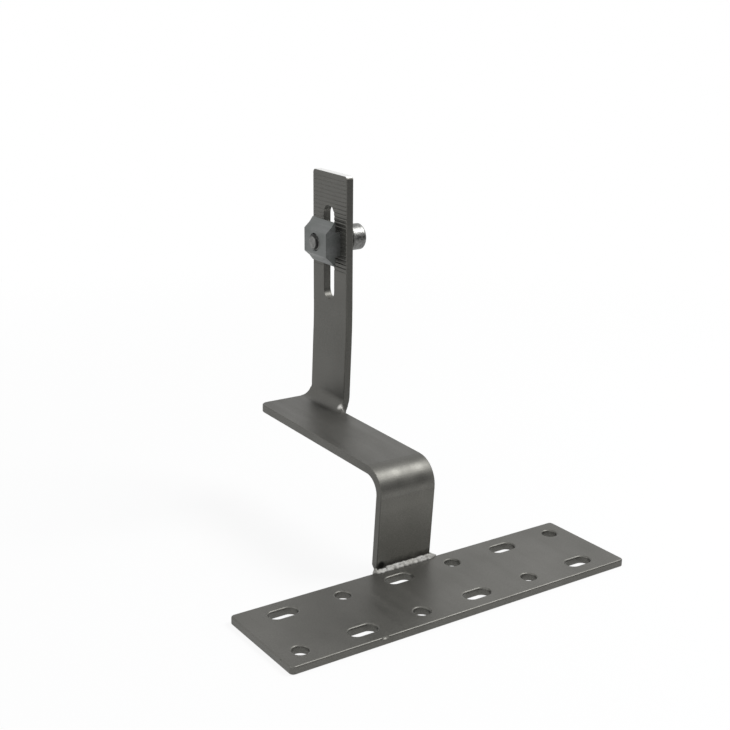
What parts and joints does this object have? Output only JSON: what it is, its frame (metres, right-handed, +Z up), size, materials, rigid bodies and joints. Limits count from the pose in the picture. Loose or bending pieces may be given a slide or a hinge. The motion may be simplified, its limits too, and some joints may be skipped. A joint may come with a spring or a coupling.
{
  "type": "solar tile roof hook",
  "caption": "Roof hook for a solar rail: perforated base plate, arm bent from one strip and a sliding T-slot rail clamp on its slotted upright.",
  "frame": {"origin": "centre of the base plate's underside", "axes": "+X along the base plate, +Y away from the plate along the arm's run, +Z up out of the roof"},
  "size_m": [0.18, 0.1549, 0.1712],
  "materials": {
    "plate_steel": "matt blasted stainless sheet with bright rolled edges",
    "arm_steel": "matt blasted stainless strip, a little brighter on its bends",
    "weld_metal": "rough bright weld bead with darker soot beside it",
    "nut_alloy": "plain extruded aluminium, matt",
    "washer_steel": "bright stainless",
    "screw_steel": "bright stainless with a knurled head"
  },
  "bodies": {
    "hook": {"base_plate": "plate_steel", "hook_arm": "arm_steel", "weld_front": "weld_metal", "weld_back": "weld_metal"},
    "clamp": {"rail_nut": "nut_alloy", "flat_washer": "washer_steel", "spring_washer": "washer_steel"},
    "screw": {"cap_screw": "screw_steel"}
  },
  "joints": [
    {"name": "clamp_slide", "type": "slide", "parent": "hook", "child": "clamp", "axis": [-0.026, -0.0234, 0.9994], "range_m": [-0.0258, 0.0132]},
    {"name": "screw_turn", "type": "hinge", "parent": "clamp", "child": "screw", "pos_m": [0.0146, 0.11335, 0.1375], "axis": [0.9997, -0.0006, 0.026], "continuous": true}
  ]
}
